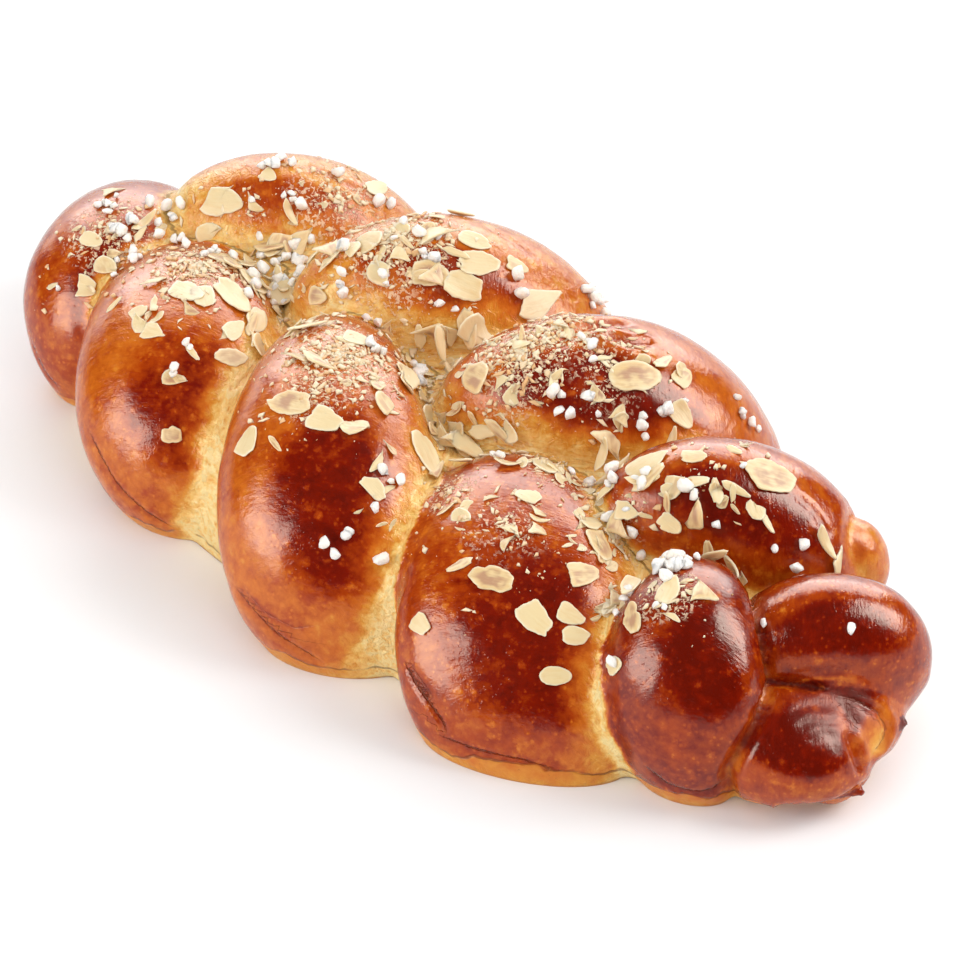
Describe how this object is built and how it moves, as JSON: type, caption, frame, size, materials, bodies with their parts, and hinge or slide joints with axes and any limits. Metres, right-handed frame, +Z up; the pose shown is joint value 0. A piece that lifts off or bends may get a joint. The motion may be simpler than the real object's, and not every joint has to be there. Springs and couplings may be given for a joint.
{
  "type": "braided sweet loaf with flaked almonds",
  "caption": "Egg-washed braided sweet yeast loaf with swollen strands, a curled end, flaked almonds and pearl sugar; lies on its flat base.",
  "frame": {"origin": "middle of the bounding box on the flat base", "axes": "+X along the loaf towards the curled end, +Y towards the row of strands that lies further back, +Z up"},
  "size_m": [0.3352, 0.1648, 0.0749],
  "materials": {
    "crust": "baked egg-washed crust, mahogany on the crowns, golden to pale cream at the seams",
    "almond": "toasted blanched almond slice, matt cream with some brown middles",
    "sugar": "white pressed sugar, matt and slightly translucent",
    "crumbs": "fine almond and sugar crumbs"
  },
  "bodies": {
    "root": {"loaf": "crust", "almond_flake_01": "almond", "almond_flake_02": "almond", "almond_flake_03": "almond", "almond_flake_04": "almond", "almond_flake_05": "almond", "almond_flake_06": "almond", "almond_flake_07": "almond", "almond_flake_08": "almond", "almond_flake_09": "almond", "almond_flake_10": "almond", "almond_flake_11": "almond", "almond_flake_12": "almond", "almond_flake_13": "almond", "almond_flake_14": "almond", "almond_flake_15": "almond", "almond_flake_16": "almond", "almond_flake_17": "almond", "almond_flake_18": "almond", "almond_flake_19": "almond", "almond_flake_20": "almond", "almond_flake_21": "almond", "almond_flake_22": "almond", "almond_flake_23": "almond", "almond_flake_24": "almond", "almond_flake_25": "almond", "almond_flake_26": "almond", "almond_flake_27": "almond", "almond_flake_28": "almond", "almond_flake_29": "almond", "almond_flake_30": "almond", "almond_flake_31": "almond", "almond_flake_32": "almond", "almond_flake_33": "almond", "almond_flake_34": "almond", "almond_flake_35": "almond", "almond_flake_36": "almond", "almond_flake_37": "almond", "almond_flake_38": "almond", "almond_flake_39": "almond", "almond_flake_40": "almond", "almond_flake_41": "almond", "almond_flake_42": "almond", "almond_flake_43": "almond", "almond_flake_44": "almond", "almond_flake_45": "almond", "almond_flake_46": "almond", "almond_flake_47": "almond", "almond_flake_48": "almond", "almond_flake_49": "almond", "almond_flake_50": "almond", "almond_flake_51": "almond", "almond_flake_52": "almond"}
  },
  "joints": []
}
